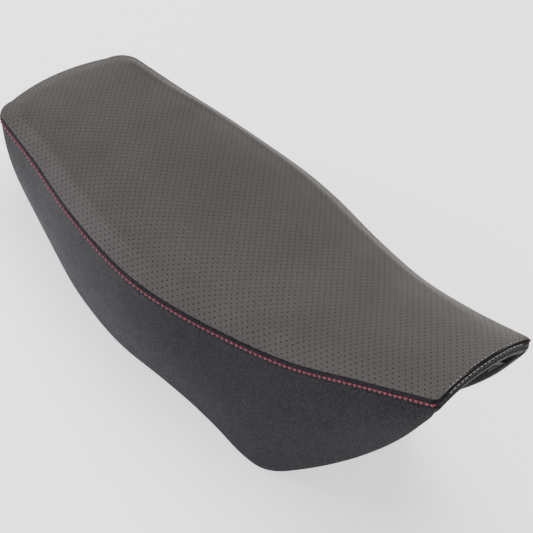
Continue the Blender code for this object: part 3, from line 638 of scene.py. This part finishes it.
class Shader:
    """A material with one Principled BSDF, and the nodes that feed it. Sizes are in metres."""

    def __init__(self, name, **constants):
        self.material = bpy.data.materials.new(name)
        self.material.use_nodes = True
        self.tree = self.material.node_tree
        self.bsdf = next(n for n in self.tree.nodes if n.type == "BSDF_PRINCIPLED")
        self.feed(**constants)

    def node(self, kind, settings=(), **inputs):
        """A new node. Inputs go by name, with _ for a space, or as i and their number."""
        made = self.tree.nodes.new(kind)
        for key, value in dict(settings).items():
            setattr(made, key, value)
        for key, value in inputs.items():
            numbered = key[0] == "i" and key[1:].isdigit()
            self.join(value, made.inputs[int(key[1:]) if numbered else key.replace("_", " ")])
        return made

    def join(self, value, socket):
        if isinstance(value, Wire):
            self.tree.links.new(value.socket, socket)
        elif isinstance(value, bpy.types.NodeSocket):
            self.tree.links.new(value, socket)
        else:
            socket.default_value = value

    def feed(self, **inputs):
        for key, value in inputs.items():
            self.join(value, self.bsdf.inputs[key.replace("_", " ")])
        return self.material

    def math(self, operation, a, b=0.0):
        made = self.node("ShaderNodeMath", {"operation": operation}, i0=a, i1=b)
        return Wire(self, made.outputs[0])

    def step(self, value, low, high):
        """Rises from 0 to 1 between low and high."""
        made = self.node(
            "ShaderNodeMapRange", {"interpolation_type": "SMOOTHSTEP"},
            Value=value, From_Min=low, From_Max=high,
        )
        return Wire(self, made.outputs[0])

    def place(self):
        """Object coordinates."""
        return self.node("ShaderNodeTexCoord").outputs["Object"]

    def uv(self, layer):
        """The two coordinates of a uv map."""
        place = self.node("ShaderNodeUVMap", {"uv_map": layer}).outputs[0]
        split = self.node("ShaderNodeSeparateXYZ", Vector=place)
        return Wire(self, split.outputs[0]), Wire(self, split.outputs[1])

    def noise(self, size, detail=2.0):
        """Noise with features of this size, about 0.5."""
        made = self.node(
            "ShaderNodeTexNoise", Vector=self.place(), Scale=1 / size, Detail=detail
        )
        return Wire(self, made.outputs[0])

    def cells(self, size, feature="F1"):
        """Distance to the middle of a cell of this size or, with the other feature, its edge."""
        made = self.node(
            "ShaderNodeTexVoronoi", {"feature": feature}, Vector=self.place(), Scale=1 / size
        )
        return Wire(self, made.outputs["Distance"])

    def mix(self, factor, a, b):
        made = self.node("ShaderNodeMix", {"data_type": "RGBA"}, i0=factor, i6=a, i7=b)
        return made.outputs[2]

    def seam_shaded(self, colour, end, dark):
        """The colour with painted shade along the seam's groove, darker from the seam to this
        distance. The panel's mesh carries that distance.
        """
        seam = self.node("ShaderNodeAttribute", {"attribute_name": "from_seam"}).outputs["Fac"]
        return self.mix(1 - self.step(Wire(self, seam), SEAM_SHADE_CORE, end), colour, dark)

    def bump(self, height, distance, strength=1.0, under=None):
        made = self.node("ShaderNodeBump", Height=height, Distance=distance, Strength=strength)
        if under is not None:
            self.join(under, made.inputs["Normal"])
        return made.outputs[0]


def rgb(red, green, blue):
    """A colour from its sRGB bytes."""
    def linear(byte):
        c = byte / 255
        return c / 12.92 if c <= 0.04045 else ((c + 0.055) / 1.055) ** 2.4
    return (linear(red), linear(green), linear(blue), 1.0)


HOLE_PITCH, HOLE_RADIUS, HOLE_BLUR = 0.0053, 0.00062, 0.00012
FAR_CELLS = 100.0           # keeps the lattice's fractions positive
SEAM_SHADE_CORE = 0.0005             # painted seam shade, fully dark from the seam to here


def perforated_vinyl():
    """Warm grey, with small holes on a diagonal lattice."""
    s = Shader("perforated vinyl", Specular_IOR_Level=0.12)
    u, v = s.uv("panel")
    diagonal = HOLE_PITCH * math.sqrt(2)
    across = s.math("FRACT", (u + v) / diagonal + FAR_CELLS) - 0.5
    along = s.math("FRACT", (u - v) / diagonal + FAR_CELLS) - 0.5
    distance = s.math("SQRT", across * across + along * along) * HOLE_PITCH
    # Painted shade: each hole is painted near-black in the colour below, for the shade inside it.
    # It is also rougher.
    hole = 1 - s.step(distance, HOLE_RADIUS - HOLE_BLUR, HOLE_RADIUS + HOLE_BLUR)
    dimple = 1 - s.step(distance, HOLE_RADIUS * 0.9, HOLE_RADIUS * 2.1)
    patches = s.step(s.noise(0.09, 3.0), 0.35, 0.65)
    fine = s.noise(0.0012, 3.0)
    vinyl = s.mix(patches, rgb(71, 67, 64), rgb(77, 73, 70))
    vinyl = s.mix(s.step(fine, 0.35, 0.75), vinyl, rgb(62, 59, 57))
    # Painted shade: the top vinyl is painted near-black along the seam's groove, for the shade in
    # it.
    colour = s.seam_shaded(s.mix(hole, vinyl, rgb(14, 13, 13)), 0.0016, rgb(8, 8, 9))
    grain = s.cells(0.0009, "DISTANCE_TO_EDGE")
    grained = s.bump(s.step(grain, 0.0, 0.25) + fine * 0.6, 0.00006, 0.9)
    rough = 0.50 + 0.08 * s.noise(0.02) + 0.3 * hole
    normal = s.bump(1 - dimple, 0.00022, 1.0, grained)
    return s.feed(Base_Color=colour, Roughness=rough, Normal=normal)


def side_vinyl():
    """Dark, slightly violet grey, with a leather grain."""
    s = Shader("side vinyl", Specular_IOR_Level=0.12)
    patches = s.step(s.noise(0.07, 3.0), 0.35, 0.65)
    grain = s.cells(0.0016, "DISTANCE_TO_EDGE")
    fine = s.noise(0.0022, 3.0)
    vinyl = s.mix(patches, rgb(13, 12, 15), rgb(18, 17, 20))
    vinyl = s.mix(s.step(fine, 0.42, 0.62), vinyl, rgb(40, 38, 45))
    colour = s.mix(1 - s.step(grain, 0.0, 0.10), vinyl, rgb(12, 12, 14))
    # Painted shade: the side vinyl is painted near-black along the seam's groove, for the shade in
    # it.
    colour = s.seam_shaded(colour, 0.0012, rgb(6, 6, 7))
    grained = s.bump(s.step(grain, 0.0, 0.22) + fine * 1.6, 0.00035)
    normal = s.bump(s.noise(0.012), 0.00035, 0.5, grained)
    return s.feed(Base_Color=colour, Roughness=0.52 + 0.10 * s.noise(0.015), Normal=normal)


def thread(name, light, dark, twist):
    """Two-ply thread, with one turn of its plies in this length."""
    s = Shader(name, Specular_IOR_Level=0.25, Sheen_Weight=0.25)
    along, around = s.uv("strand")
    ply = s.math("SINE", (along / twist + around * 2.0) * math.tau) * 0.5 + 0.5
    fibres = s.noise(0.00025)
    # Painted light and shade: the lighter colour on the plies' crests and the darker one in the
    # grooves between them stand for their light and shade. The fibres darken the colour at random.
    colour = s.mix(s.step(ply, 0.0, 0.6), dark, light)
    colour = s.mix(fibres * 0.4, colour, dark)
    normal = s.bump(s.step(ply, 0.0, 0.7) + fibres * 0.3, 0.00018)
    return s.feed(Base_Color=colour, Roughness=0.7 + 0.2 * fibres, Normal=normal)


def moulded_plastic():
    s = Shader("moulded plastic", Specular_IOR_Level=0.45)
    clouds = s.noise(0.06, 3.0)
    colour = s.mix(s.step(clouds, 0.3, 0.7), rgb(33, 33, 35), rgb(40, 40, 42))
    normal = s.bump(s.cells(0.0011), 0.00012, 0.7)
    return s.feed(Base_Color=colour, Roughness=0.50 + 0.14 * clouds, Normal=normal)


def pad_rubber():
    s = Shader("pad rubber", Specular_IOR_Level=0.3)
    dust = s.step(s.noise(0.008, 4.0), 0.45, 0.75)
    colour = s.mix(dust * 0.5, rgb(27, 27, 28), rgb(52, 51, 50))
    normal = s.bump(s.noise(0.0009, 3.0), 0.00008, 0.8)
    return s.feed(Base_Color=colour, Roughness=0.72 + 0.15 * dust, Normal=normal)


def coated_steel():
    """Black paint with a faint orange peel, worn to the metal on sharp edges."""
    s = Shader("coated steel", Specular_IOR_Level=0.5)
    sharp = Wire(s, s.node("ShaderNodeNewGeometry").outputs["Pointiness"])
    worn = s.step(sharp + s.noise(0.003, 3.0) * 0.05, 0.60, 0.68)
    colour = s.mix(worn, rgb(30, 30, 31), rgb(96, 94, 92))
    rough = 0.42 + 0.12 * s.noise(0.03)
    normal = s.bump(s.noise(0.0022), 0.00006, 0.6)
    return s.feed(Base_Color=colour, Metallic=worn * 0.8, Roughness=rough, Normal=normal)


def zinc(name):
    s = Shader(name)
    spangle = s.noise(0.004, 3.0)
    colour = s.mix(spangle, rgb(168, 166, 158), rgb(196, 193, 180))
    metal, rough = 0.85 + 0.1 * spangle, 0.28 + 0.16 * spangle
    normal = s.bump(s.noise(0.0012), 0.00003, 0.5)
    return s.feed(Base_Color=colour, Metallic=metal, Roughness=rough, Normal=normal)


def floor_paint():
    s = Shader(
        "floor", Roughness=0.9, Specular_IOR_Level=0.1,
        Emission_Color=(1, 1, 1, 1), Emission_Strength=1.15,
    )
    return s.feed(Base_Color=s.mix(s.noise(0.5), rgb(246, 246, 247), rgb(250, 250, 250)))


# ---------------------------------------------------------------- the seat's cover

top_vinyl, cover_vinyl = perforated_vinyl(), side_vinyl()
red_thread = thread("red thread", rgb(146, 54, 70), rgb(78, 24, 34), 0.0019)
grey_thread = thread("grey thread", rgb(150, 149, 150), rgb(84, 83, 86), 0.0015)
staple_zinc = zinc("staple zinc")

top = cover_top()
skirt, edge, skirt_normal, sides, hem = cover_skirt()


def outward_of(lean):
    """The sides' outward direction at each column, before it is made a unit, with this z."""
    return np.column_stack([skirt_normal, np.full(len(skirt_normal), lean)])


# The line of the sides at the topstitching's distance below the seam.
distance_down = arc(sides, 0)
path = np.array([
    at_distance(STITCH_DROP, distance_down[:, i], sides[:, i]) for i in range(sides.shape[1])
])
red_frames = both_sides(frames_along(
    path[RED_START:], outward_of(STITCH_LEAN)[RED_START:], STITCH, slant=STITCH_SLANT
))
red_stitches = repeated("red_stitches", thread_shape(STITCH_LENGTH, STITCH_RADIUS), red_frames)


def across_nose(column):
    """A column of the top's left half from its ridge out, then its mirror image back in.

    The line goes straight from corner to corner between the two, so the stitches that fall on
    that stretch lie inside the cushion, where they don't show.
    """
    return np.concatenate([column[::-1], (column * MIRROR)[1:]])


top_half = top_grid()[0]
nose_line = across_nose(top_half[:, 0])
run = across_nose(top_half[:, NOSE_SECOND_COLUMN]) - nose_line
run /= np.linalg.norm(run, axis=1, keepdims=True)
above = np.cross(np.gradient(nose_line, axis=0), run)
above *= np.sign(above[:, 2:]) / np.linalg.norm(above, axis=1, keepdims=True)
lower_row = path[:NOSE_COLUMNS - 1] + (0, 0, STITCH_DROP - NOSE_LOWER)
lower_out = np.tile([0.0, -1.0, 0.1], (len(lower_row), 1))
nose_frames = frames_along(nose_line + run * NOSE_UPPER, above, NOSE_STITCH)
nose_frames = nose_frames + both_sides(frames_along(lower_row, lower_out, NOSE_STITCH))
nose_stitches = repeated(
    "nose_stitches", thread_shape(NOSE_STITCH_LENGTH, NOSE_STITCH_RADIUS), nose_frames
)

stapled = edge[:, 1] > STAPLE_START
staple_frames = both_sides(
    frames_along(hem[STAPLE_ROW][stapled], -outward_of(0)[stapled], STAPLE_PITCH)
)
staples = repeated("staples", staple_shape(STAPLE_WIDTH, STAPLE_WIRE), staple_frames)

for piece, material, slot_name in (
    (top, top_vinyl, "vinyl_perforated"),
    (skirt, cover_vinyl, "vinyl_side"),
    (red_stitches, red_thread, "vinyl_side"),
    (nose_stitches, grey_thread, "vinyl_side"),
    (staples, staple_zinc, "plated_steel"),
):
    piece.data.materials.append(material)
    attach(piece, "root")
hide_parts("cover_top_panel", "foam_cushion")
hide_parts("cover_side_panel_left", "cover_side_panel_right", "cover_nose_band")

# The CAD solids that stay, by the start of their names.
FINISHES = {
    "seat_base": moulded_plastic(),
    "frame_pad": pad_rubber(),
    "front_tongue": coated_steel(),
    "latch_striker": zinc("striker zinc"),
    "striker_bolt": zinc("bolt zinc"),
}
FINISHES["tongue_bolt"] = FINISHES["striker_bolt"]
for name, node in frame["nodes"].items():
    for start, material in FINISHES.items():
        if name.startswith(start):
            node.data.materials.clear()
            node.data.materials.append(material)

# ---------------------------------------------------------------- floor, lights, camera

FLOOR_SIZE = 40
SKY_COLOUR, SKY_STRENGTH = (0.84, 0.90, 1.0, 1.0), 0.46
# Place, target, size, watts, colour.
OVERHEAD = ((0.5, 0.3, 2.2), (0, 0, 0.15), (1.6, 1.6), 60, (1.0, 0.94, 0.86))
SIDE_LAMP = ((-1.5, 1.7, 0.9), (-0.05, 0.2, 0.15), (0.9, 0.9), 46, (0.86, 0.90, 1.0))
AZIMUTH, ELEVATION = math.radians(-40.33), math.radians(42.02)
AIM, DISTANCE = np.array([0, -0.0241, 0.1442]), 1.422
FOCAL_LENGTH, SENSOR = 100.5, 36            # in millimetres

bpy.ops.object.select_all(action="DESELECT")
bpy.ops.mesh.primitive_plane_add(size=FLOOR_SIZE)
floor = bpy.context.active_object
floor.name = "floor"
floor.data.materials.append(floor_paint())

world = bpy.data.worlds.new("studio")
world.use_nodes = True
sky = world.node_tree.nodes["Background"]
sky.inputs["Color"].default_value = SKY_COLOUR
sky.inputs["Strength"].default_value = SKY_STRENGTH
bpy.context.scene.world = world


def softbox(name, place, target, size, power, colour):
    bpy.ops.object.light_add(type="AREA", location=place)
    lamp = bpy.context.active_object
    lamp.name = name
    lamp.data.shape = "RECTANGLE"
    lamp.data.size, lamp.data.size_y = size
    lamp.data.energy = power
    lamp.data.color = colour
    lamp.rotation_mode = "QUATERNION"
    lamp.rotation_quaternion = (Vector(target) - Vector(place)).to_track_quat("-Z", "Y")


softbox("overhead", *OVERHEAD)
softbox("side", *SIDE_LAMP)

toward = np.array([
    math.sin(AZIMUTH) * math.cos(ELEVATION), -math.cos(AZIMUTH) * math.cos(ELEVATION),
    math.sin(ELEVATION),
])
eye = placed(AIM + DISTANCE * toward)
z_axis = TURN @ toward
x_axis = unit(np.cross(TURN @ np.array([0, 0, 1]), z_axis))
y_axis = np.cross(z_axis, x_axis)
lens = bpy.data.cameras.new("camera")
lens.lens, lens.sensor_width = FOCAL_LENGTH, SENSOR
camera = bpy.data.objects.new("camera", lens)
camera.matrix_world = Matrix([
    [x_axis[i], y_axis[i], z_axis[i], eye[i]] for i in range(3)
] + [[0, 0, 0, 1]])
bpy.context.scene.collection.objects.link(camera)
bpy.context.scene.camera = camera

bpy.ops.object.select_all(action="DESELECT")
